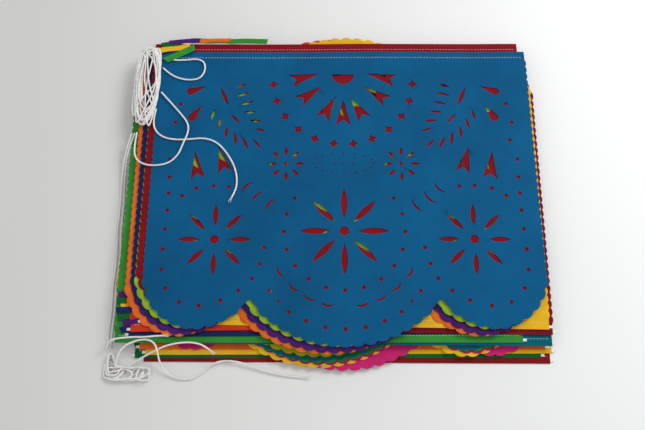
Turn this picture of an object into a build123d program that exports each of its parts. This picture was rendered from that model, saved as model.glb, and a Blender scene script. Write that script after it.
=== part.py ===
from build123d import *
import math
import os

# Cut-paper bunting, stacked: 23 tissue-paper flags whose top edges are folded round cotton twine and
# stitched, laid on each other in four packets with their hems in turn at the back and at the front.
# X runs across the flags, Y to the back, Z up. The stack lies on the plane Z = 0, centred on the origin.

# ---- flags ----
FLAG_W = 450           # cut width
MID_LEN = 364          # folded top edge to the tip of the middle lobe
SIDE_LEN = 345         # folded top edge to the bottom of a side lobe
NOTCH_LEN = 313        # folded top edge to the notch between two lobes
NOTCH_X = 106          # notch, out from the middle
SHOULDER = 288         # where a side edge starts to turn into its lobe
LOBE_X = 166           # lowest point of a side lobe, out from the middle
PAPER = 0.1            # flag thickness
PITCH = 1.0            # one flag to the next, set by the hems
SIDE_SCALLOP = (9.0, 1.6)      # pitch and depth of the cut edge
LOBE_SCALLOP = (14.0, 3.2)

# ---- hem ----
HEM_H = 0.9            # height of the sleeve pressed flat round its twine
STITCH = 8.0           # fold to stitch line
HEM_FLAP = 12.0        # fold to the end of the turned-in flap
HEM_CORD = (3.0, 0.6)  # the twine in the sleeve, pressed flat
HEM_CORD_OUT = 4.0     # how far it stands out of each end

# ---- twine and place ----
CORD_D = 2.2
STACK_X = 12.28         # middle of the top flag, from the middle of the whole stack
STACK_Y = -2.02

# Every flag from the top down: name, True if its hem lies to the front, shift across,
# Y of its folded edge, turn in degrees.
FLAGS = [
    ("blue", False, 0, 185, 0),
    ("red", False, -8, 197, 0),
    ("lime", False, -8, 186, -0.2),
    ("navy", False, -15, 188, 0.2),
    ("purple", False, -11, 179, -0.2),
    ("orange", False, -20, 178, 0),
    ("yellow", True, 0, -158, -0.8),
    ("red_orange", True, -12, -160, 0.9),
    ("dark_red", True, 4, -164, -0.6),
    ("navy", True, -14, -167, 0.5),
    ("light_green", True, -29, -175, 0),
    ("teal", True, 3, -177, -0.4),
    ("olive", False, -19, 176, -2.5),
    ("dark_green", False, -17, 174, -2.4),
    ("blue", False, -18, 172, -2.6),
    ("green", False, -16, 170, -2.4),
    ("magenta", False, -14, 168, -2.5),
    ("yellow", False, -18, 165, -2.7),
    ("pink", False, 4, 162, -1.2),
    ("orange", True, -3, -181, 0),
    ("yellow", True, 4, -186, 0.2),
    ("dark_green", True, -8, -190, 0),
    ("red", True, 2, -195, -0.3),
]


# ---------------------------------------------------------------- cut-outs of one flag
# Each is a closed wire in the flag's plane: x from its middle, y down from the folded edge (negative).
# Angles are counter-clockwise from +x.

def at_angle(origin, radius, angle):
    return Vector(*origin) + Vector(radius, 0).rotate(Axis.Z, angle)


def dot(x, y, diameter):
    return Wire([Edge.make_circle(diameter / 2, Plane(origin=(x, y, 0)))])


def leaf(centre, length, width, angle):
    """A pointed leaf: two arcs between two tips."""
    tip_a = at_angle(centre, length / 2, angle)
    tip_b = at_angle(centre, length / 2, angle + 180)
    side_a = at_angle(centre, width / 2, angle + 90)
    side_b = at_angle(centre, width / 2, angle - 90)
    return Wire([Edge.make_three_point_arc(tip_a, side_a, tip_b), Edge.make_three_point_arc(tip_b, side_b, tip_a)])


def crescent(centre, length, width, angle):
    """A thin moon whose back bulges towards angle + 90."""
    tip_a = at_angle(centre, length / 2, angle)
    tip_b = at_angle(centre, length / 2, angle + 180)
    back = at_angle(centre, 1.7 * width, angle + 90)
    front = at_angle(centre, 0.7 * width, angle + 90)
    return Wire([Edge.make_three_point_arc(tip_a, back, tip_b), Edge.make_three_point_arc(tip_b, front, tip_a)])


def dart(tip, length, width, notch, angle):
    """A swallow-tailed ray, from its tip out along angle."""
    end = at_angle(tip, length, angle)
    corners = [
        Vector(*tip),
        at_angle(end, width / 2, angle - 90),
        at_angle(tip, length - notch, angle),
        at_angle(end, width / 2, angle + 90),
    ]
    return Wire.make_polygon(corners, close=True)


def four_point(centre, size, angle):
    """A small square whose sides are hollowed."""
    corners = [at_angle(centre, size / 2, angle + 90 * i) for i in range(4)]
    hollows = [at_angle(centre, 0.29 * size, angle + 45 + 90 * i) for i in range(4)]
    sides = [Edge.make_three_point_arc(corners[i], hollows[i], corners[(i + 1) % 4]) for i in range(4)]
    return Wire(sides)


def teardrop(centre, radius, length, angle):
    """A round head with a pointed tail towards angle."""
    tip = at_angle(centre, length, angle)
    open_angle = math.degrees(math.acos(radius / length))
    left = at_angle(centre, radius, angle + open_angle)
    right = at_angle(centre, radius, angle - open_angle)
    head = at_angle(centre, radius, angle + 180)
    return Wire([Edge.make_three_point_arc(left, head, right), Edge.make_line(right, tip), Edge.make_line(tip, left)])


def half_disc(centre, radius):
    left = at_angle(centre, radius, 180)
    right = at_angle(centre, radius, 0)
    return Wire([Edge.make_line(left, right), Edge.make_three_point_arc(right, at_angle(centre, radius, 270), left)])


def star(centre, hub, inner, outer, width):
    """Eight leaves round a dot."""
    petals = [
        leaf(at_angle(centre, (inner + outer) / 2, 45 * i), outer - inner, width, 45 * i)
        for i in range(8)
    ]
    return [dot(*centre, hub)] + petals


def both_sides(make, rows):
    """The same cut-out on the right and, mirrored, on the left. A row is x, y, then sizes, then an angle."""
    cuts = []
    for x, y, *sizes, angle in rows:
        cuts.append(make((x, y), *sizes, angle))
        cuts.append(make((-x, y), *sizes, 180 - angle))
    return cuts


def sunburst():
    """Half disc, seven rays and an arc of twelve hollowed squares."""
    rays = [(9, -63, 34, 17, 7, -61), (26, -49, 34, 17, 7, -36), (29, -31, 36, 17, 7, -15)]
    cuts = [half_disc((0, -32), 13.5), dart((0, -67), 34, 18, 7, 270)]
    cuts += both_sides(dart, rays)
    for i in range(12):
        angle = 270 + 15.8 * (i - 5.5)
        cuts.append(four_point(at_angle((0, -41), 85, angle), 12, angle))
    return cuts


def frond():
    """A sprig of leaves on each side of the sunburst."""
    stem = [(144, -62, 27, 4.6, 67), (130, -92, 17, 3.8, 47)]
    inner = [
        (124, -47, 15, 3.6, 160), (122, -59, 17, 3.6, 163), (117, -71, 16, 3.6, 169),
        (112, -83, 15, 3.4, 176), (105, -95, 14, 3.4, 184), (99, -107, 13, 3.2, 193),
    ]
    outer = [
        (157, -87, 14, 3.6, 102), (149, -98, 15, 3.6, 104), (140, -110, 16, 3.8, 95),
        (129, -118, 18, 3.8, 82), (117, -124, 18, 3.6, 64), (103, -125, 15, 3.4, 48),
    ]
    return both_sides(leaf, stem + inner + outer)


def side_cuts():
    """Teardrops, tall darts and moons on each side."""
    drops = [(186, -55, 4.6, 21, 160), (182, -90, 4.9, 20, 124)]
    darts = [(148, -129, 34, 17, 7, 255), (176, -134, 36, 17, 7, 262)]
    moons = [(112, -181, 18, 2.6, 137), (100, -193, 20, 2.6, 133), (85, -203, 19, 2.6, 128)]
    return both_sides(teardrop, drops) + both_sides(dart, darts) + both_sides(crescent, moons)


def centre_cuts():
    """The large star, its ring of dots and the moons under it."""
    middle = (0, -234)
    cuts = star(middle, 11, 15, 52, 7.4)
    for i in range(-7, 8):
        cuts.append(dot(*tuple(at_angle(middle, 69.5, 270 + 17.8 * i))[:2], 4.8))
    for side in (-1, 1):
        for turn in (13, 27, 41, 56):
            angle = 270 + side * turn
            cuts.append(crescent(at_angle(middle, 86, angle), 15, 2.6, angle - 90))
    return cuts


def eye():
    """A ring of pinholes with three more inside it, between the two small stars."""
    middle = (0, -151)
    cuts = [dot(35 * math.cos(math.tau * i / 16), middle[1] + 13 * math.sin(math.tau * i / 16), 2.0) for i in range(16)]
    return cuts + [dot(x, middle[1], 2.0) for x in (-11, 0, 11)]


def border_dots():
    """Round holes that run down the sides and along the lobes."""
    rows = [
        (197, -72), (202, -97), (198, -120), (205, -145), (204, -168), (204, -188), (204, -209), (205, -232),
        (206, -256), (206, -280), (200, -301), (184, -317), (162, -321), (138, -315), (119, -304), (104, -290),
        (96, -273), (91, -254), (134, -180), (152, -179), (172, -182), (188, -191),
        (84, -304), (62, -328), (43, -338), (22, -345),
    ]
    cuts = [dot(side * x, y, 4.8) for x, y in rows for side in (-1, 1)]
    return cuts + [dot(side * 74, -316, 3.4) for side in (-1, 1)] + [dot(0, -347, 4.8)]


def flag_cuts():
    cuts = sunburst() + frond() + side_cuts() + eye() + centre_cuts() + border_dots()
    for side in (-1, 1):
        cuts += star((68 * side, -151), 5.2, 10.5, 21.5, 4.2)
        cuts += star((148 * side, -244), 10, 16.5, 42, 6)
    return cuts


# ---------------------------------------------------------------- one flag

def scallops(path, pitch, depth, straight=()):
    """Outward arcs of one pitch along a path that keeps the paper on its left; those beside a notch are straight."""
    count = round(path.length / pitch)
    ends = [path @ (i / count) for i in range(count + 1)]
    edges = []
    for i, (a, b) in enumerate(zip(ends, ends[1:])):
        out = (b - a).normalized().rotate(Axis.Z, -90)
        if i in straight or i - count in straight:
            edges.append(Edge.make_line(a, b))
        else:
            edges.append(Edge.make_three_point_arc(a, (a + b) / 2 + out * depth, b))
    return edges


def flag_outline():
    """Straight along the fold, small scallops down the sides, large ones round the three lobes."""
    half = FLAG_W / 2
    side = Wire([Edge.make_line((-half, -HEM_FLAP), (-half, -SHOULDER))])
    lobe = Wire([
        Edge.make_three_point_arc((-half, -SHOULDER), (-half + 19, -SIDE_LEN + 17), (-LOBE_X, -SIDE_LEN)),
        Edge.make_three_point_arc((-LOBE_X, -SIDE_LEN), (-135, -SIDE_LEN + 9), (-NOTCH_X, -NOTCH_LEN)),
    ])
    middle = Wire([Edge.make_three_point_arc((-NOTCH_X, -NOTCH_LEN), (0, -MID_LEN), (NOTCH_X, -NOTCH_LEN))])
    left = scallops(side, *SIDE_SCALLOP) + scallops(lobe, *LOBE_SCALLOP, straight=(-1,))
    right = [edge.mirror(Plane.YZ) for edge in left]
    fold = [
        Edge.make_line((-half, -HEM_FLAP), (-half, -HEM_FLAP + 2)),
        Edge.make_line((-half, -HEM_FLAP + 2), (half, -HEM_FLAP + 2)),
        Edge.make_line((half, -HEM_FLAP + 2), (half, -HEM_FLAP)),
    ]
    return Wire(left + scallops(middle, *LOBE_SCALLOP, straight=(0, -1)) + right + fold)


def hem_sleeve():
    """The top edge turned down and back under itself, a flat sleeve that opens at both ends."""
    outer = [
        (0, HEM_H), (0, 0), (-0.7 * STITCH, 0), (-STITCH, HEM_H - 2 * PAPER),
        (-HEM_FLAP, HEM_H - 2 * PAPER), (-HEM_FLAP, HEM_H),
    ]
    room = [
        (-PAPER, HEM_H - PAPER), (-PAPER, PAPER), (-0.7 * STITCH + PAPER / 2, PAPER),
        (-STITCH + PAPER, HEM_H - PAPER),
    ]
    wires = [Wire.make_polygon([(-FLAG_W / 2, y, z) for y, z in points], close=True) for points in (outer, room)]
    return extrude(Face(wires[0], [wires[1]]), amount=FLAG_W, dir=(1, 0, 0))


def make_flag():
    """One flag with its hem: folded edge on y = 0, lobes towards -y, underside of the hem on z = 0."""
    sheet = Face(flag_outline(), flag_cuts())
    body = extrude(sheet, amount=PAPER, dir=(0, 0, 1)).moved(Location((0, 0, HEM_H - PAPER)))
    return (body + hem_sleeve()).solid()


def make_hem_cord():
    """The twine inside a hem, with its ends standing out."""
    width, height = HEM_CORD
    length = FLAG_W + 2 * HEM_CORD_OUT
    start = Plane(origin=(-length / 2, -STITCH / 2 + 1, HEM_H / 2 - PAPER / 2), x_dir=(0, 1, 0), z_dir=(1, 0, 0))
    return extrude(start * SlotOverall(width, height), amount=length).solid()


# ---------------------------------------------------------------- twine
# Points of each route, measured from the middle of the top flag. An end lies against the hank or the tangle,
# or is cut off.

ROUTES = {
    # round the top left corner, out of the hank and back
    "loop_1": [
        (-221.4, 175, 24.4), (-209, 172.5, 24.3), (-194, 172.5, 24.3), (-180, 174.5, 24.3), (-170.5, 170, 24.3),
        (-169, 158, 24.3), (-174.5, 147, 24.3), (-187, 144.5, 24.3), (-201, 147, 24.3), (-213, 153.5, 24.3),
        (-221, 161.5, 24.4),
    ],
    # down the left, over the next loop, and back along the edge
    "loop_2": [
        (-221, 128, 24.6), (-213, 119, 24.3), (-199, 103, 24.3), (-186, 87, 24.7), (-184.5, 73, 26.9),
        (-190, 59, 26.9), (-195, 45, 24.7), (-206, 34, 24.3), (-222, 31, 24.4), (-236, 33, 23.9),
        (-247, 42, 21.6), (-249, 58, 21.4), (-247, 75.4, 21.8),
    ],
    # the loose end that lies on the top flag
    "loop_3": [
        (-225.6, 105.2, 24.5), (-228, 92, 24.3), (-226, 78, 24.3), (-216, 68, 24.3), (-201, 64.5, 24.3),
        (-184, 65, 24.3), (-166, 67, 24.3), (-151, 62, 24.3), (-138, 48, 24.3), (-127, 28, 24.3),
        (-124, 8, 24.3), (-128, -5, 24.3), (-133, -14.5, 24.3),
    ],
    # two strands from the hank down the left edge to the tangle
    "strand_1": [
        (-254, 75.2, 19), (-260, 60, 13), (-264, 42, 6), (-266, 20, 2), (-264, -10, 1.4), (-265.5, -42, 1.4),
        (-262.5, -76, 1.4), (-264.5, -108, 1.4), (-263, -138, 1.4), (-264.5, -160, 1.6), (-264.5, -178.7, 1.8),
    ],
    "strand_2": [
        (-250, 75.2, 20), (-256.5, 61, 14.5), (-260.6, 44, 7), (-262, 22, 2), (-260, -8, 1.4), (-261, -40, 1.4),
        (-258.5, -74, 1.4), (-260.5, -106, 1.4), (-259.4, -136, 1.4), (-260.4, -160, 1.6), (-260.5, -179.8, 1.8),
    ],
    # out of the tangle and over the front hems
    "tail_1": [
        (-238, -199.3, 5.4), (-226, -192, 7.6), (-212, -185, 11), (-198, -179, 15.4), (-182, -175.5, 16.2),
        (-166, -175, 15.8), (-153, -179, 13.6), (-143.5, -187, 9.4),
    ],
    "tail_2": [
        (-252, -199.8, 7), (-249.5, -188, 13.5), (-241, -178, 16.2), (-228, -173, 17), (-216, -172, 18.6),
        (-207, -177.5, 19.4), (-205, -187, 15.5), (-203, -197.5, 8), (-196, -207, 3.2), (-184, -213, 1.6),
        (-169, -213.5, 1.6), (-157, -206, 2), (-147.5, -197, 3.2), (-134, -193, 3.9), (-115, -195, 3.9),
        (-98, -201, 2.8), (-80, -207, 1.6), (-60, -210.5, 1.4), (-38, -212, 1.4),
    ],
    "tail_3": [
        (-263, -180.5, 8.6), (-260.5, -173, 15.6), (-248, -170.5, 16.6), (-233, -169.5, 17.6), (-219, -170, 20),
        (-206, -169, 21.4), (-193, -168.5, 21.6),
    ],
}

# The hank: its plan, and its section across, which steps down over the edges of the flags.
HANK_PLAN = [
    (-241, 192), (-227, 192), (-222, 180), (-222, 112), (-231, 100), (-236, 76), (-256, 76), (-257, 110),
    (-256.5, 165), (-251, 186),
]
HANK_SECTION = [
    (-258, 13.4), (-252, 18.4), (-245, 20.5), (-236, 22.3), (-227.5, 23.3), (-221, 23.3),
    (-221, 25.6), (-233, 27.6), (-246, 26.4), (-256, 21.5), (-258, 18),
]
TANGLE_PLAN = [
    (-268, -216.5), (-224, -216.5), (-207, -215), (-207, -208), (-216, -200.5), (-256, -200.5), (-257, -188),
    (-260, -180.5), (-267, -178.8), (-270, -200),
]
TANGLE_H = 7


def tube(name, points):
    """Twine along straight runs joined by arcs, each arc as large as its two runs allow."""
    corners = [Vector(*point) for point in points]
    radii = []
    for before, here, after in zip(corners, corners[1:], corners[2:]):
        turn = math.radians((here - before).get_angle(after - here))
        shorter = min((here - before).length, (after - here).length)
        radii.append(0.45 * shorter / math.tan(turn / 2))
    path = FilletPolyline(*corners, radius=radii)
    section = Plane(origin=path @ 0, z_dir=path % 0) * Circle(CORD_D / 2)
    solid = sweep(section, path=path).solid()
    share = solid.volume / (math.pi * CORD_D**2 / 4 * path.length)
    print(name, "length", round(path.length), "least radius", round(min(radii), 1), "volume share", round(share, 4))
    return solid


def prism(plan, height):
    """A plan drawn on Z = 0, drawn up to a height."""
    return extrude(make_face(Polyline(*plan, close=True)), amount=height, dir=(0, 0, 1))


def make_hank():
    y_back = max(y for _, y in HANK_PLAN)
    section = Polyline(*[(x, y_back, z) for x, z in HANK_SECTION], close=True)
    length = y_back - min(y for _, y in HANK_PLAN)
    height = 1 + max(z for _, z in HANK_SECTION)
    return (prism(HANK_PLAN, height) & extrude(make_face(section), amount=length, dir=(0, -1, 0))).solid()


def make_tangle():
    return prism(TANGLE_PLAN, TANGLE_H).solid()


# ---------------------------------------------------------------- place and write

def write(name, solid):
    export_step(solid, "parts/" + name + ".step")
    box = solid.bounding_box()
    print(name, "valid", solid.is_valid, "volume", round(solid.volume), "z", round(box.min.Z, 2), round(box.max.Z, 2))


os.makedirs("parts", exist_ok=True)
on_stack = Location((STACK_X, STACK_Y, 0))
flag = make_flag()
hem_cord = make_hem_cord()
for index, (colour, hem_to_front, shift, fold_y, turn) in enumerate(FLAGS):
    z = (len(FLAGS) - 1 - index) * PITCH
    place = on_stack * Location((shift, fold_y, z), (0, 0, turn + (180 if hem_to_front else 0)))
    number = str(index + 1).zfill(2)
    write("flag_" + number + "_" + colour, flag.moved(place))
    write("hem_cord_" + number, hem_cord.moved(place))
for name, points in ROUTES.items():
    write("twine_" + name, tube(name, points).moved(on_stack))
write("twine_hank", make_hank().moved(on_stack))
write("twine_tangle", make_tangle().moved(on_stack))
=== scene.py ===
import math
import random

import bpy
import numpy as np
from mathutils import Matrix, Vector, noise


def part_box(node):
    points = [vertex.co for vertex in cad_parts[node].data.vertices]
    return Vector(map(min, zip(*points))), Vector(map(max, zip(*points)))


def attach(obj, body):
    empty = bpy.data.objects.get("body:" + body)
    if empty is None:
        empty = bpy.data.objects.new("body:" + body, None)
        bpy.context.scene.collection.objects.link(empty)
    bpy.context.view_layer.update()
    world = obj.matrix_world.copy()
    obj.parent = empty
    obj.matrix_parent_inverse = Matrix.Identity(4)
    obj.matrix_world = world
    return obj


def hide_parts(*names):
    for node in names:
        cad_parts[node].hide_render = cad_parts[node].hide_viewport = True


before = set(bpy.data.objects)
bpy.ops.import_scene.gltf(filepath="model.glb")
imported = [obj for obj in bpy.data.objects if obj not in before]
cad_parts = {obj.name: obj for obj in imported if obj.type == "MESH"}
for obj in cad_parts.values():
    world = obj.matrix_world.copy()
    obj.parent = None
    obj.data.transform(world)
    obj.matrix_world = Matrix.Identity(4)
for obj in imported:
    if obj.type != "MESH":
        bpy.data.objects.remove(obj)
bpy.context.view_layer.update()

# Metres unless a name or comment says millimetres, in the frame of the model: X across, Y to the back, Z up.
MM = 0.001
STACK_MID = (12.28 * MM, -2.02 * MM)    # middle of the top flag
STACK_TOP = 22.9 * MM
FLAG_W = 450 * MM

# Colours, 0 to 255.
PAPERS = {
    "blue": (4, 84, 128),
    "red": (126, 14, 24),
    "lime": (140, 172, 40),
    "navy": (22, 36, 86),
    "orange": (222, 104, 36),
    "purple": (72, 28, 102),
    "yellow": (226, 176, 34),
    "red_orange": (200, 54, 32),
    "dark_red": (122, 14, 30),
    "light_green": (52, 138, 52),
    "teal": (0, 88, 104),
    "olive": (160, 152, 26),
    "dark_green": (8, 92, 42),
    "green": (14, 126, 56),
    "magenta": (158, 22, 82),
    "pink": (196, 36, 106),
}
TWINE_COLOUR = (243, 241, 238)
# The floor's two ends: one pale floor with painted shade, darker on the left and lighter on the right.
FLOOR_SHADED_LEFT = (214, 213, 210)
FLOOR_LIT_RIGHT = (244, 245, 244)


def linear(rgb):
    """A colour of 0 to 255 as Blender's linear colour."""
    def one(c):
        c = c / 255
        return c / 12.92 if c <= 0.04045 else ((c + 0.055) / 1.055) ** 2.4
    return (one(rgb[0]), one(rgb[1]), one(rgb[2]), 1)


def make_active(obj):
    """The one object that the next operators act on."""
    bpy.ops.object.select_all(action="DESELECT")
    obj.select_set(True)
    bpy.context.view_layer.objects.active = obj


def link(obj):
    bpy.context.scene.collection.objects.link(obj)
    return obj


def coordinates(mesh):
    """Where a mesh's vertices are, as rows of x, y, z."""
    co = np.empty(len(mesh.vertices) * 3, np.float32)
    mesh.vertices.foreach_get("co", co)
    return co.reshape(-1, 3)


def set_coordinates(mesh, co):
    mesh.vertices.foreach_set("co", np.asarray(co, np.float32).ravel())
    mesh.update()


# ---------------------------------------------------------------- camera

CAMERA_LENS = 42.4                  # millimetres, on a sensor 36 mm wide
CAMERA_LEFT = 0.025                 # to the left of the stack's middle
CAMERA_FRONT = 0.3186               # to the front of the stack's middle
CAMERA_HEIGHT = 0.8474
CAMERA_TILT = math.radians(19.3)    # from straight down


def make_camera():
    data = bpy.data.cameras.new("camera")
    data.lens = CAMERA_LENS
    data.sensor_width = 36
    camera = link(bpy.data.objects.new("camera", data))
    camera.location = (STACK_MID[0] - CAMERA_LEFT, STACK_MID[1] - CAMERA_FRONT, CAMERA_HEIGHT)
    camera.rotation_euler = (CAMERA_TILT, 0, 0)
    bpy.context.scene.camera = camera


make_camera()


# ---------------------------------------------------------------- materials

PAPER_SHINE = 0.12       # specular level of tissue paper
TISSUE_RELIEF = 0.55
TISSUE_DEPTH = 0.6 * MM
COTTON_RELIEF = 0.5
COTTON_DEPTH = 0.3 * MM
COTTON_SHEEN = 0.3
FLOOR_ROUGHNESS = 0.7


def shader(name):
    material = bpy.data.materials.new(name)
    material.use_nodes = True
    return material, material.node_tree.nodes, material.node_tree.links


def new_group(name, inputs, outputs):
    group = bpy.data.node_groups.new(name, "ShaderNodeTree")
    for label, kind, value in inputs:
        group.interface.new_socket(label, in_out="INPUT", socket_type=kind).default_value = value
    for label, kind in outputs:
        group.interface.new_socket(label, in_out="OUTPUT", socket_type=kind)
    return group, group.nodes.new("NodeGroupInput"), group.nodes.new("NodeGroupOutput")


def noise_node(group, place, scale, detail, roughness=0.55):
    node = group.nodes.new("ShaderNodeTexNoise")
    node.inputs["Scale"].default_value = scale
    node.inputs["Detail"].default_value = detail
    node.inputs["Roughness"].default_value = roughness
    group.links.new(place, node.inputs["Vector"])
    return node.outputs["Fac"]


def stretched(group, place, scale, turn):
    """Places scaled by different amounts along X and Y, after a turn in degrees."""
    node = group.nodes.new("ShaderNodeMapping")
    node.inputs["Scale"].default_value = scale
    node.inputs["Rotation"].default_value = (0, 0, math.radians(turn))
    group.links.new(place, node.inputs["Vector"])
    return node.outputs["Vector"]


def ranged(group, value, low, high, to_low, to_high):
    """A value moved from one range to another."""
    node = group.nodes.new("ShaderNodeMapRange")
    for label, number in (("From Min", low), ("From Max", high), ("To Min", to_low), ("To Max", to_high)):
        node.inputs[label].default_value = number
    group.links.new(value, node.inputs["Value"])
    return node.outputs["Result"]


def arithmetic(group, operation, a, b):
    node = group.nodes.new("ShaderNodeMath")
    node.operation = operation
    for i, value in enumerate((a, b)):
        if isinstance(value, (int, float)):
            node.inputs[i].default_value = value
        else:
            group.links.new(value, node.inputs[i])
    return node.outputs[0]


def tissue_group():
    """Tissue paper: cloudy dye, fine fibres both ways, soft crumple and pressed creases."""
    group, given, out = new_group(
        "tissue",
        [("Colour", "NodeSocketColor", (0.5, 0.5, 0.5, 1)), ("Seed", "NodeSocketFloat", 0.0)],
        [("Colour", "NodeSocketColor"), ("Roughness", "NodeSocketFloat"), ("Height", "NodeSocketFloat")],
    )
    place = group.nodes.new("ShaderNodeTexCoord").outputs["Object"]
    offset = group.nodes.new("ShaderNodeVectorMath")
    offset.operation = "ADD"
    group.links.new(place, offset.inputs[0])
    group.links.new(given.outputs["Seed"], offset.inputs[1])
    spot = offset.outputs["Vector"]

    clouds = noise_node(group, spot, 14, 3)
    blotches = noise_node(group, spot, 75, 4)
    fibre_a = noise_node(group, stretched(group, spot, (420, 2600, 1), 12), 1, 2)
    fibre_b = noise_node(group, stretched(group, spot, (2600, 420, 1), -8), 1, 2)
    fibres = arithmetic(group, "MULTIPLY", fibre_a, fibre_b)
    crumple = noise_node(group, spot, 38, 5, 0.6)

    creases = group.nodes.new("ShaderNodeTexVoronoi")
    creases.feature = "DISTANCE_TO_EDGE"
    creases.inputs["Scale"].default_value = 21
    group.links.new(stretched(group, spot, (1, 1.5, 1), 17), creases.inputs["Vector"])
    crease = ranged(group, creases.outputs["Distance"], 0, 0.035, 0, 1)

    dye = arithmetic(group, "ADD", ranged(group, clouds, 0.3, 0.7, -0.13, 0.13),
                     ranged(group, blotches, 0.3, 0.7, -0.05, 0.05))
    dye = arithmetic(group, "ADD", dye, ranged(group, fibres, 0.12, 0.4, -0.06, 0.09))
    value = arithmetic(group, "ADD", dye, 1.0)
    tone = group.nodes.new("ShaderNodeHueSaturation")
    group.links.new(given.outputs["Colour"], tone.inputs["Color"])
    group.links.new(value, tone.inputs["Value"])

    height = arithmetic(group, "ADD", arithmetic(group, "MULTIPLY", fibres, 0.35),
                        arithmetic(group, "MULTIPLY", crumple, 1.6))
    height = arithmetic(group, "ADD", height, arithmetic(group, "MULTIPLY", crease, 0.3))
    group.links.new(tone.outputs["Color"], out.inputs["Colour"])
    group.links.new(ranged(group, blotches, 0.2, 0.8, 0.72, 0.9), out.inputs["Roughness"])
    group.links.new(height, out.inputs["Height"])
    return group


def finished(name, group, colour, values, relief, distance):
    """A material on one Principled shader, with its colour, roughness and relief from a group."""
    material, nodes, links = shader(name)
    principled = nodes["Principled BSDF"]
    effect = nodes.new("ShaderNodeGroup")
    effect.node_tree = group
    effect.inputs["Colour"].default_value = colour
    for label, value in values.items():
        effect.inputs[label].default_value = value
    bump = nodes.new("ShaderNodeBump")
    bump.inputs["Strength"].default_value = relief
    bump.inputs["Distance"].default_value = distance
    links.new(effect.outputs["Colour"], principled.inputs["Base Color"])
    links.new(effect.outputs["Roughness"], principled.inputs["Roughness"])
    links.new(effect.outputs["Height"], bump.inputs["Height"])
    links.new(bump.outputs["Normal"], principled.inputs["Normal"])
    return material, principled


def cotton_group():
    """Cotton twine: loose fibres along and round it, greyed a little in patches."""
    group, given, out = new_group(
        "cotton",
        [("Colour", "NodeSocketColor", (0.5, 0.5, 0.5, 1))],
        [("Colour", "NodeSocketColor"), ("Roughness", "NodeSocketFloat"), ("Height", "NodeSocketFloat")],
    )
    place = group.nodes.new("ShaderNodeTexCoord").outputs["Object"]
    fibres = noise_node(group, place, 2600, 4, 0.7)
    patches = noise_node(group, place, 160, 3)
    value = arithmetic(group, "ADD", ranged(group, fibres, 0.3, 0.7, -0.12, 0.07),
                       ranged(group, patches, 0.3, 0.7, 0.9, 1.03))
    tone = group.nodes.new("ShaderNodeHueSaturation")
    group.links.new(given.outputs["Colour"], tone.inputs["Color"])
    group.links.new(value, tone.inputs["Value"])
    group.links.new(tone.outputs["Color"], out.inputs["Colour"])
    group.links.new(ranged(group, patches, 0.2, 0.8, 0.8, 0.95), out.inputs["Roughness"])
    group.links.new(fibres, out.inputs["Height"])
    return group


tissue = tissue_group()
paper = {}
for number, (colour, rgb) in enumerate(PAPERS.items()):
    paper[colour], principled = finished(
        "paper_" + colour, tissue, linear(rgb), {"Seed": 0.37 * number}, TISSUE_RELIEF, TISSUE_DEPTH)
    principled.inputs["Specular IOR Level"].default_value = PAPER_SHINE
cotton, principled = finished("twine", cotton_group(), linear(TWINE_COLOUR), {}, COTTON_RELIEF, COTTON_DEPTH)
principled.inputs["Sheen Weight"].default_value = COTTON_SHEEN


# ---------------------------------------------------------------- twine
# Points of each route, from the middle of the top flag, in millimetres.

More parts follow.
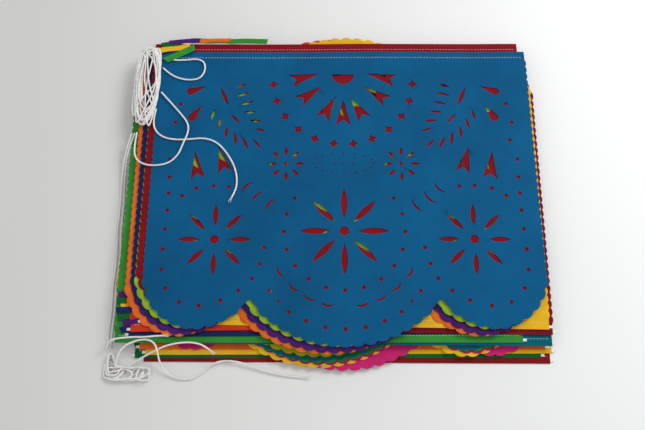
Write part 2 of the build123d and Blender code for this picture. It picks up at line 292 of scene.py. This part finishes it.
ROUTES = {
    "loop_1": [
        (-221.4, 175, 24.4), (-209, 172.5, 24.3), (-194, 172.5, 24.3), (-180, 174.5, 24.3), (-170.5, 170, 24.3),
        (-169, 158, 24.3), (-174.5, 147, 24.3), (-187, 144.5, 24.3), (-201, 147, 24.3), (-213, 153.5, 24.3),
        (-221, 161.5, 24.4),
    ],
    "loop_2": [
        (-221, 128, 24.6), (-213, 119, 24.3), (-199, 103, 24.3), (-186, 87, 24.7), (-184.5, 73, 26.9),
        (-190, 59, 26.9), (-195, 45, 24.7), (-206, 34, 24.3), (-222, 31, 24.4), (-236, 33, 23.9),
        (-247, 42, 21.6), (-249, 58, 21.4), (-247, 75.4, 21.8),
    ],
    "loop_3": [
        (-225.6, 105.2, 24.5), (-228, 92, 24.3), (-226, 78, 24.3), (-216, 68, 24.3), (-201, 64.5, 24.3),
        (-184, 65, 24.3), (-166, 67, 24.3), (-151, 62, 24.3), (-138, 48, 24.3), (-127, 28, 24.3),
        (-124, 8, 24.3), (-128, -5, 24.3), (-133, -14.5, 24.3),
    ],
    "strand_1": [
        (-254, 75.2, 19), (-260, 60, 13), (-264, 42, 6), (-266, 20, 2), (-264, -10, 1.4), (-265.5, -42, 1.4),
        (-262.5, -76, 1.4), (-264.5, -108, 1.4), (-263, -138, 1.4), (-264.5, -160, 1.6), (-264.5, -178.7, 1.8),
    ],
    "strand_2": [
        (-250, 75.2, 20), (-256.5, 61, 14.5), (-260.6, 44, 7), (-262, 22, 2), (-260, -8, 1.4), (-261, -40, 1.4),
        (-258.5, -74, 1.4), (-260.5, -106, 1.4), (-259.4, -136, 1.4), (-260.4, -160, 1.6),
        (-260.5, -179.8, 1.8),
    ],
    "tail_1": [
        (-238, -199.3, 5.4), (-226, -192, 7.6), (-212, -185, 11), (-198, -179, 15.4), (-182, -175.5, 16.2),
        (-166, -175, 15.8), (-153, -179, 13.6), (-143.5, -187, 9.4),
    ],
    "tail_2": [
        (-252, -199.8, 7), (-249.5, -188, 13.5), (-241, -178, 16.2), (-228, -173, 17), (-216, -172, 18.6),
        (-207, -177.5, 19.4), (-205, -187, 15.5), (-203, -197.5, 8), (-196, -207, 3.2), (-184, -213, 1.6),
        (-169, -213.5, 1.6), (-157, -206, 2), (-147.5, -197, 3.2), (-134, -193, 3.9), (-115, -195, 3.9),
        (-98, -201, 2.8), (-80, -207, 1.6), (-60, -210.5, 1.4), (-38, -212, 1.4),
    ],
    "tail_3": [
        (-263, -180.5, 8.6), (-260.5, -173, 15.6), (-248, -170.5, 16.6), (-233, -169.5, 17.6), (-219, -170, 20),
        (-206, -169, 21.4), (-193, -168.5, 21.6),
    ],
}

# Each piece of twine: its length in millimetres, what its far end goes to, and whether that end is frayed.
TWINES = {
    "loop_1": (126, "object", False),
    "loop_2": (190, "object", False),
    "loop_3": (193, "bare", True),
    "strand_1": (258, "object", False),
    "strand_2": (260, "object", False),
    "tail_1": (105, "bare", True),
    "tail_2": (265, "bare", True),
    "tail_3": (78, "bare", True),
}


def placed(points):
    """Points given in millimetres from the middle of the top flag, in the frame of the model."""
    return [Vector((STACK_MID[0] + x * MM, STACK_MID[1] + y * MM, z * MM)) for x, y, z in points]


def spline_points(name, points):
    """The smooth line of a route: points along a NURBS curve that has the route as its control points."""
    data = bpy.data.curves.new(name + "_route", "CURVE")
    data.dimensions = "3D"
    data.resolution_u = 16
    spline = data.splines.new("NURBS")
    spline.points.add(len(points) - 1)
    for point, place in zip(spline.points, points):
        point.co = (*place, 1)
    spline.order_u = 3
    spline.use_endpoint_u = True
    curve = link(bpy.data.objects.new(name + "_route", data))
    bpy.context.view_layer.update()
    mesh = bpy.data.meshes.new_from_object(curve)
    line = coordinates(mesh).astype(float)
    bpy.data.objects.remove(curve)
    bpy.data.meshes.remove(mesh)
    return line


def evenly(line, step):
    """The same line as points one step apart."""
    along = np.concatenate([[0], np.cumsum(np.linalg.norm(np.diff(line, axis=0), axis=1))])
    count = max(2, int(round(along[-1] / step)))
    at = np.linspace(0, along[-1], count + 1)
    return np.stack([np.interp(at, along, line[:, i]) for i in range(3)], axis=1), at


def carried_frames(line):
    """Two directions across the line at each point, square to each other, carried along it without twist."""
    tangents = np.gradient(line, axis=0)
    tangents /= np.linalg.norm(tangents, axis=1)[:, None]
    side = np.cross(tangents[0], (0.12, 0.07, 1.0))
    sides = []
    for tangent in tangents:
        side = side - tangent * side.dot(tangent)
        side = side / np.linalg.norm(side)
        sides.append(side)
    sides = np.array(sides)
    return sides, np.cross(tangents, sides)


TWIST = 6.5 * MM       # length of one turn of the plies
PLIES = 3
PLY_R = 0.56 * MM
PLY_OUT = 0.53 * MM    # ply's middle, out from the middle of the twine
FRAY = 11 * MM         # length of a frayed end
FRAY_OPEN = 2.4        # how much further out its plies end, as a share
FRAY_THIN = 0.55       # how much thinner its plies end, as a share


def twine_mesh(name, line, step, ring, frayed):
    """Three plies twisted round a line. A frayed end opens out and thins."""
    line, along = evenly(line, step)
    side, up = carried_frames(line)
    to_end = np.clip((along - (along[-1] - FRAY)) / FRAY, 0, 1) if frayed else np.zeros_like(along)
    around = np.linspace(0, 2 * math.pi, ring, endpoint=False)
    verts, faces = [], []
    for ply in range(PLIES):
        turn = 2 * math.pi * (along / TWIST + ply / PLIES)
        out = PLY_OUT * (1 + FRAY_OPEN * to_end**2)
        radius = PLY_R * (1 - FRAY_THIN * to_end)
        middle = line + (side * np.cos(turn)[:, None] + up * np.sin(turn)[:, None]) * out[:, None]
        first = len(verts)
        for i, centre in enumerate(middle):
            for angle in around:
                verts.append(centre + radius[i] * (side[i] * math.cos(angle) + up[i] * math.sin(angle)))
        for i in range(len(line) - 1):
            for k in range(ring):
                a = first + i * ring + k
                b = first + i * ring + (k + 1) % ring
                faces.append((a, b, b + ring, a + ring))
        faces.append(tuple(first + k for k in reversed(range(ring))))
        faces.append(tuple(first + (len(line) - 1) * ring + k for k in range(ring)))
    mesh = bpy.data.meshes.new(name)
    mesh.from_pydata([tuple(v) for v in verts], [], faces)
    mesh.shade_smooth()
    piece = link(bpy.data.objects.new(name, mesh))
    piece.data.materials.append(cotton)
    return piece, line


def add_twine(name, line, node, frayed=False, step=0.7 * MM, ring=7):
    """Twisted twine along a line, in place of its CAD node: a ring of points on each ply at each step."""
    piece, path = twine_mesh(name, line, step, ring, frayed)
    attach(piece, "root")
    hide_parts(node)


for name, (length, far_end, frayed) in TWINES.items():
    line = spline_points(name, placed(ROUTES[name]))
    add_twine("twine_" + name + "_plied", line, "twine_" + name, frayed)


# ---- hank: one long twine in turns along the left edge, on the steps of the flags' edges
# Its sizes are in millimetres. Each pair of lists gives a height at each x.
HANK_TURNS = 13
HANK_PER_TURN = 14                          # points
HANK_MIDDLE = -239.5                        # x
HANK_HALF = 17.0                            # of its width
HANK_SIDES = (-256.6, -222.4)               # x
HANK_TURN_HALF = (5.5, 16.5)                # of one turn's width
HANK_BACK = (181, 192)
HANK_FRONTS = ((78, 92), (92, 112))         # long turns and short ones
HANK_NARROWED = 0.5                         # a turn's width at the front, as a share
HANK_LEAN = 2.5                             # to the left at the front
HANK_SWAY = 1.9
HANK_SHAKE = 0.9
HANK_LIFT = 0.3                             # from one point to the next, as a share of the height
HANK_SEED = 11
HANK_STEPS = ([-258, -252, -245, -236, -227.5, -221], [13.4, 18.4, 20.5, 22.3, 23.3, 23.3])
HANK_TOPS = ([-258, -256, -246, -233, -221], [18, 21.5, 26.4, 27.6, 25.6])
HANK_CLEAR = 1.2                            # middle of a strand from what it lies on


def hank_height(x, layer):
    """Middle of a strand at x: on the flags for layer 0, on the strands below for layer 1."""
    low = np.interp(x, *HANK_STEPS) + HANK_CLEAR
    high = np.interp(x, *HANK_TOPS) - HANK_CLEAR
    return low + layer * max(0, high - low)


def hank_points():
    """Turn after turn, each a long oval of its own width, ends and lean, wandering as slack twine does."""
    draw = random.Random(HANK_SEED)
    points = []
    for _ in range(HANK_TURNS):
        half = draw.uniform(*HANK_TURN_HALF)
        middle = HANK_MIDDLE + draw.uniform(-1.0, 1.0) * (HANK_HALF - half)
        back = draw.uniform(*HANK_BACK)
        front = draw.choice([draw.uniform(*ends) for ends in HANK_FRONTS])
        sway = draw.uniform(0, 2 * math.pi)
        layer = draw.random()
        for step in range(HANK_PER_TURN):
            angle = 2 * math.pi * step / HANK_PER_TURN
            run = math.sin(angle)
            taper = 1 - HANK_NARROWED * max(0, -run) ** 2
            x = middle + half * math.cos(angle) * taper - HANK_LEAN * max(0, -run)
            y = (back + front) / 2 + (back - front) / 2 * math.copysign(abs(run) ** 0.62, run)
            x += HANK_SWAY * math.sin(sway + 0.055 * y) + draw.uniform(-HANK_SHAKE, HANK_SHAKE)
            x = min(max(x, HANK_SIDES[0]), HANK_SIDES[1])
            layer = min(1, max(0, layer + draw.uniform(-HANK_LIFT, HANK_LIFT)))
            points.append((x, y, hank_height(x, layer)))
    return points


line = spline_points("hank", placed(hank_points()))
add_twine("twine_hank_plied", line, "twine_hank", step=1.2 * MM, ring=5)


# ---- tangle: a loose twine that wanders in loops at the front left corner
# Its sizes are in millimetres. Its loops start small and drift along a line, which is given as shares of
# its run, x and y.
TANGLE_LOOPS = 11
TANGLE_PER_LOOP = 12                                # points
TANGLE_LINE = ([0, 0.3, 0.5, 1], [-260, -257, -246, -218], [-193, -203, -206.5, -208])
TANGLE_GROWN = 0.35                                 # share of the run at which loops are full size
TANGLE_EDGE = (-269.5, -205.5, -216.3, -179.5)      # left, right, front and back
TANGLE_BEND = (-256, -199.5)                        # right of this x, the back edge is at this y
TANGLE_WIDE = (11, 27)                              # half of a loop's width
TANGLE_DEEP = (7, 14)                               # half of a loop's depth
TANGLE_LEAN = 40                                    # degrees either way
TANGLE_OFF = 7                                      # from the line
TANGLE_SHAKE = 0.8
TANGLE_LOW = 1.3                                    # middle of the lowest strand
TANGLE_RISE = 4.3                                   # from the lowest strand to the highest
TANGLE_SEED = 23


def eased(value, low, high):
    """The value pulled in softly, so that it nears the limits without a corner."""
    middle, half = (low + high) / 2, (high - low) / 2
    return middle + half * math.tanh((value - middle) / half)


def tangle_points():
    """Open loops of uneven size and lean, drifting from the strands on the left to the front hems."""
    draw = random.Random(TANGLE_SEED)
    count = TANGLE_LOOPS * TANGLE_PER_LOOP
    points = []
    for i in range(count):
        at = i / (count - 1)
        if i % TANGLE_PER_LOOP == 0:
            wide = draw.uniform(*TANGLE_WIDE) * (0.55 + 0.45 * min(1, at / TANGLE_GROWN))
            deep = draw.uniform(*TANGLE_DEEP)
            lean = math.radians(draw.uniform(-TANGLE_LEAN, TANGLE_LEAN))
            off = draw.uniform(-TANGLE_OFF, TANGLE_OFF) * min(1, at / TANGLE_GROWN)
            way = draw.choice((1, 1, -1))
        angle = 2 * math.pi * i / TANGLE_PER_LOOP * way
        across = wide * math.cos(angle)
        along = deep * math.sin(angle + 0.35 * math.sin(2 * angle))
        x = np.interp(at, TANGLE_LINE[0], TANGLE_LINE[1]) + off
        y = np.interp(at, TANGLE_LINE[0], TANGLE_LINE[2])
        x += across * math.cos(lean) - along * math.sin(lean) + draw.uniform(-TANGLE_SHAKE, TANGLE_SHAKE)
        y += across * math.sin(lean) * 0.5 + along * math.cos(lean) + draw.uniform(-TANGLE_SHAKE, TANGLE_SHAKE)
        x = eased(x, TANGLE_EDGE[0], TANGLE_EDGE[1])
        y = eased(y, TANGLE_EDGE[2], TANGLE_BEND[1] if x > TANGLE_BEND[0] else TANGLE_EDGE[3])
        z = TANGLE_LOW + TANGLE_RISE * (0.5 + 0.5 * math.sin(0.41 * i + 1.7 * math.sin(0.13 * i)))
        points.append((x, y, z))
    return points


line = spline_points("tangle", placed(tangle_points()))
add_twine("twine_tangle_plied", line, "twine_tangle", step=0.9 * MM, ring=6)


# ---------------------------------------------------------------- flags

# Waves of the paper: height in millimetres, how many to a metre across and to the back, and a seed.
SWELLS = [(1.9, 4.2, 5.0, 3.1), (0.9, 11, 14, 8.7), (0.35, 27, 34, 1.3)]
FINE_GRID = 9 * MM       # steps of the edges that let a sheet bend: top flag, other flags, hem twine
PLAIN_GRID = 26 * MM
HEM_GRID = 12 * MM
WELD = 0.00001


def settled(co):
    """The soft swell of the whole stack, more towards its top."""
    moved = co.copy()
    for i, (x, y, z) in enumerate(co):
        swell = 0
        for high, across, back, seed in SWELLS:
            swell += high * noise.noise(Vector((across * x, back * y, seed)))
        moved[i, 2] = z + max(0.0, z / STACK_TOP) * swell * MM
    return moved


def cut_grid(piece, low, high, step):
    """Edges across the sheet one step apart, so that it can bend."""
    make_active(piece)
    bpy.ops.object.mode_set(mode="EDIT")
    for axis in (0, 1):
        normal = [0, 0, 0]
        normal[axis] = 1
        count = int((high[axis] - low[axis]) / step)
        for i in range(1, count + 1):
            spot = [0, 0, 0]
            spot[axis] = low[axis] + (high[axis] - low[axis]) * i / (count + 1)
            bpy.ops.mesh.select_all(action="SELECT")
            bpy.ops.mesh.bisect(plane_co=spot, plane_no=normal)
    bpy.ops.object.mode_set(mode="OBJECT")


def middle_of(node):
    low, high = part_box(node)
    return (low + high) / 2


def merged_copy(node, hem, name, step):
    """A copy of a CAD mesh whose loose triangles are joined, with its hem on the origin, cut by a grid."""
    middle = middle_of(hem)
    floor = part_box(hem)[0][2]
    piece = link(bpy.data.objects.new(name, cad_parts[node].data.copy()))
    co = coordinates(piece.data) - np.array([middle[0], middle[1], floor], np.float32)
    set_coordinates(piece.data, co)
    make_active(piece)
    bpy.ops.object.mode_set(mode="EDIT")
    bpy.ops.mesh.select_all(action="SELECT")
    bpy.ops.mesh.remove_doubles(threshold=WELD)
    bpy.ops.object.mode_set(mode="OBJECT")
    cut_grid(piece, co.min(axis=0), co.max(axis=0), step)
    make_active(piece)
    bpy.ops.object.shade_smooth_by_angle(angle=math.radians(35))
    piece.data.materials.clear()
    return piece


def hem_turn(flag, hem):
    """How far a flag is turned from the top flag's way round, read from the line of its hem twine."""
    co = coordinates(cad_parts[hem].data)
    middle = middle_of(hem)
    right = co[co[:, 0] > middle[0]].mean(axis=0)
    left = co[co[:, 0] < middle[0]].mean(axis=0)
    turn = math.atan2(right[1] - left[1], right[0] - left[0])
    return turn + (math.pi if middle_of(flag)[1] > middle[1] else 0)


def laid(co, flag, hem):
    """Points about the hem of the top flag, moved to where another flag lies, and settled with the stack."""
    turn = hem_turn(flag, hem)
    middle = middle_of(hem)
    x, y = co[:, 0].copy(), co[:, 1].copy()
    moved = co.copy()
    moved[:, 0] = middle[0] + x * math.cos(turn) - y * math.sin(turn)
    moved[:, 1] = middle[1] + x * math.sin(turn) + y * math.cos(turn)
    moved[:, 2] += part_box(hem)[0][2]
    return settled(moved)


def lay(master, flag, hem, name, material):
    """A copy of a master piece, laid where a flag lies."""
    piece = link(bpy.data.objects.new(name, master.data.copy()))
    set_coordinates(piece.data, laid(coordinates(master.data), flag, hem))
    piece.data.materials.append(material)
    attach(piece, "root")
    return piece


# ---- stitches
STITCH_IN = 8 * MM       # fold to stitch line
STITCH_END = 3 * MM      # edge of the flag to the first stitch
STITCH_UP = 0.02 * MM    # middle of a stitch, above the paper
STITCH_PITCH = 3.6 * MM
STITCH_LONG = 2.5 * MM
STITCH_THICK = 0.42 * MM


def stitch_row():
    """A row of short thread stitches along the top flag's hem, each a spindle half sunk in the paper."""
    hem = "hem_cord_01"
    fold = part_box(top_flag)[1][1] - middle_of(hem)[1]
    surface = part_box(top_flag)[1][2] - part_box(hem)[0][2]
    count = int((FLAG_W - 2 * STITCH_END) / STITCH_PITCH)
    verts, faces = [], []
    for i in range(count):
        x = (i - (count - 1) / 2) * STITCH_PITCH
        y = fold - STITCH_IN
        z = surface + STITCH_UP
        first = len(verts)
        for along, size in ((-0.5, 0.35), (-0.28, 1.0), (0.28, 1.0), (0.5, 0.35)):
            for across, up in ((-1, 0), (0, 0.62), (1, 0), (0, -0.62)):
                verts.append((x + along * STITCH_LONG, y + across * size * STITCH_THICK / 2,
                              z + up * size * STITCH_THICK / 2))
        for section in range(3):
            for k in range(4):
                a = first + 4 * section + k
                b = first + 4 * section + (k + 1) % 4
                faces.append((a, a + 4, b + 4, b))
        faces.append((first, first + 1, first + 2, first + 3))
        faces.append((first + 15, first + 14, first + 13, first + 12))
    mesh = bpy.data.meshes.new("stitch_row")
    mesh.from_pydata(verts, [], faces)
    mesh.shade_smooth()
    return link(bpy.data.objects.new("stitch_row", mesh))


# Node names are flag_NN_colour, from the top flag down.
flag_nodes = sorted(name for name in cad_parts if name.startswith("flag_"))
top_flag = flag_nodes[0]
fine = merged_copy(top_flag, "hem_cord_01", "fine_flag", FINE_GRID)
plain = merged_copy(top_flag, "hem_cord_01", "plain_flag", PLAIN_GRID)
hem_master = merged_copy("hem_cord_01", "hem_cord_01", "hem_master", HEM_GRID)
stitch_master = stitch_row()
for node in flag_nodes:
    digits = node[5:7]
    colour = node[8:]
    hem = "hem_cord_" + digits
    master = fine if node == top_flag else plain
    sheet = lay(master, node, hem, "paper_" + digits + "_" + colour, paper[colour])
    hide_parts(node)
    stitches = lay(stitch_master, node, hem, "stitches_" + digits, cotton)
    inner = lay(hem_master, node, hem, "hem_twine_" + digits, cotton)
    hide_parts(hem)
for master in (fine, plain, hem_master, stitch_master):
    bpy.data.objects.remove(master)


# ---- ends of other hems, which fan out past the top flag's corner and at the front of the left edge
# Name, colour, left end, right end (x, y, z), width, all in millimetres from the middle of the top flag.

HEM_ENDS = [
    ("navy_back", "navy", (-231, 182, 23.4), (-208, 190, 23.4), 7),
    ("yellow_back", "yellow", (-226, 186.5, 24.2), (-190, 192, 24.2), 7),
    ("dark_green_back", "dark_green", (-225, 194, 23.4), (-200, 199, 23.4), 7),
    ("purple_back", "purple", (-216, 197.5, 24.0), (-178, 201, 24.0), 6),
    ("orange_back", "orange", (-196, 200.5, 22.9), (-140, 202, 22.7), 5),
    ("light_green_back", "light_green", (-190, 201.5, 21.8), (-94, 200.5, 21.7), 7),
    ("light_green_fold", "light_green", (-219, 172, 25.0), (-184, 190.5, 25.0), 8.5),
    ("purple_front", "purple", (-254, -121, 14.2), (-236, -123, 14.2), 6),
    ("dark_green_front_1", "dark_green", (-255, -128.5, 15.1), (-236, -129, 15.1), 6),
    ("yellow_front", "yellow", (-250, -134, 14.2), (-234, -133, 14.2), 6),
    ("navy_front_1", "navy", (-254, -140, 15.1), (-234, -138, 15.1), 7),
    ("dark_green_front_2", "dark_green", (-252, -147.5, 14.2), (-232, -145, 14.2), 7),
    ("purple_front_2", "purple", (-246, -154, 15.1), (-226, -151, 15.1), 6),
    ("navy_front_2", "navy", (-248, -162, 14.2), (-228, -158, 14.2), 7),
]
SLEEVE = 0.85            # height of a hem pressed flat, in millimetres
SLEEVE_ROUND = 0.45      # radius along its folds, as a share of its height
SLEEVE_CREASE = 0.55     # stitched crease, from the middle, as a share of half the width
SLEEVE_SKEW = 0.25       # of its cut ends
SLEEVE_WANDER = 0.9      # in millimetres
SLEEVE_RUMPLE = 0.35     # in millimetres
SLEEVE_STEP = 4 * MM


def select_edges(mesh, wanted):
    """Select the edges whose two ends, a and b, pass a test."""
    for edge in mesh.edges:
        a, b = (mesh.vertices[i].co for i in edge.vertices)
        edge.select = wanted(a, b)


def hem_end(name, colour, left, right, width):
    """A pressed sleeve of folded paper: rounded along both folds, rumpled a little, cut a touch askew."""
    left, right = placed([left, right])
    run = right - left
    bpy.ops.object.select_all(action="DESELECT")
    bpy.ops.mesh.primitive_cube_add(size=1, location=(0, 0, 0))
    piece = bpy.context.object
    piece.name = "hem_end_" + name
    piece.scale = (run.length, width * MM, SLEEVE * MM)
    bpy.ops.object.transform_apply(location=False, rotation=False, scale=True)
    bpy.ops.object.mode_set(mode="EDIT")
    bpy.ops.mesh.select_mode(type="EDGE")
    bpy.ops.mesh.select_all(action="DESELECT")
    bpy.ops.object.mode_set(mode="OBJECT")
    select_edges(piece.data, lambda a, b: abs(a.x - b.x) > run.length / 2)
    bpy.ops.object.mode_set(mode="EDIT")
    bpy.ops.mesh.bevel(offset=SLEEVE_ROUND * SLEEVE * MM, segments=3)
    cuts = max(4, int(run.length / SLEEVE_STEP))
    for i in range(1, cuts):
        bpy.ops.mesh.select_all(action="SELECT")
        bpy.ops.mesh.bisect(plane_co=((i / cuts - 0.5) * run.length, 0, 0), plane_no=(1, 0, 0))
    bpy.ops.mesh.select_all(action="SELECT")
    bpy.ops.mesh.bisect(plane_co=(0, -SLEEVE_CREASE * width * MM / 2, 0), plane_no=(0, 1, 0))
    bpy.ops.object.mode_set(mode="OBJECT")
    co = coordinates(piece.data)
    turn = math.atan2(run.y, run.x)
    middle = (left + right) / 2
    seed = 3.7 * len(name) + width
    for i, (x, y, z) in enumerate(co):
        y += SLEEVE_WANDER * MM * noise.noise(Vector((60 * x, 0, seed)))
        x += SLEEVE_SKEW * y * (1 if x > 0 else -1)
        z += SLEEVE_RUMPLE * MM * noise.noise(Vector((120 * x, 150 * y, seed)))
        z += run.z * (x / run.length)
        co[i] = (
            middle.x + x * math.cos(turn) - y * math.sin(turn),
            middle.y + x * math.sin(turn) + y * math.cos(turn),
            middle.z + z,
        )
    set_coordinates(piece.data, co)
    make_active(piece)
    bpy.ops.object.shade_smooth_by_angle(angle=math.radians(40))
    piece.data.materials.append(paper[colour])
    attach(piece, "root")


for hem_name, colour, left, right, width in HEM_ENDS:
    hem_end(hem_name, colour, left, right, width)


# ---------------------------------------------------------------- floor and light

FLOOR_SIZE = 6
FLOOR_Z = -0.0002
FLOOR_SHADE = (-0.35, 0.4)       # x at which the floor's painted shade is at its darkest and at its lightest
# Area lights: name, place, size, power in watts. Each aims at the origin.
LIGHTS = [
    ("window", (1.1, 0.75, 1.25), 0.9, 19),
    ("fill", (-0.8, -0.6, 1.6), 1.6, 5),
]
WORLD_COLOUR = (0.97, 0.98, 1.0, 1)
WORLD_STRENGTH = 0.53


def make_floor():
    """A pale floor under the stack, with painted shade that makes it darker to the left and lighter to the
    right.
    """
    bpy.ops.object.select_all(action="DESELECT")
    bpy.ops.mesh.primitive_plane_add(size=FLOOR_SIZE, location=(0, 0, FLOOR_Z))
    floor = bpy.context.object
    floor.name = "floor"
    material, nodes, links = shader("floor")
    principled = nodes["Principled BSDF"]
    principled.inputs["Roughness"].default_value = FLOOR_ROUGHNESS
    place = nodes.new("ShaderNodeTexCoord")
    split = nodes.new("ShaderNodeSeparateXYZ")
    ramp = nodes.new("ShaderNodeMapRange")
    ramp.inputs["From Min"].default_value = FLOOR_SHADE[0]
    ramp.inputs["From Max"].default_value = FLOOR_SHADE[1]
    mix = nodes.new("ShaderNodeMix")
    mix.data_type = "RGBA"
    mix.inputs["A"].default_value = linear(FLOOR_SHADED_LEFT)
    mix.inputs["B"].default_value = linear(FLOOR_LIT_RIGHT)
    links.new(place.outputs["Object"], split.inputs["Vector"])
    links.new(split.outputs["X"], ramp.inputs["Value"])
    links.new(ramp.outputs["Result"], mix.inputs["Factor"])
    links.new(mix.outputs["Result"], principled.inputs["Base Color"])
    floor.data.materials.append(material)


def area_light(name, place, size, power):
    data = bpy.data.lights.new(name, "AREA")
    data.size = size
    data.energy = power
    light = link(bpy.data.objects.new(name, data))
    light.location = place
    light.rotation_euler = (-Vector(place)).to_track_quat("-Z", "Y").to_euler()


def make_world():
    world = bpy.data.worlds.new("studio")
    world.use_nodes = True
    background = world.node_tree.nodes["Background"]
    background.inputs["Color"].default_value = WORLD_COLOUR
    background.inputs["Strength"].default_value = WORLD_STRENGTH
    bpy.context.scene.world = world


make_floor()
for name, place, size, power in LIGHTS:
    area_light(name, place, size, power)
make_world()
bpy.context.scene.view_settings.view_transform = "Standard"
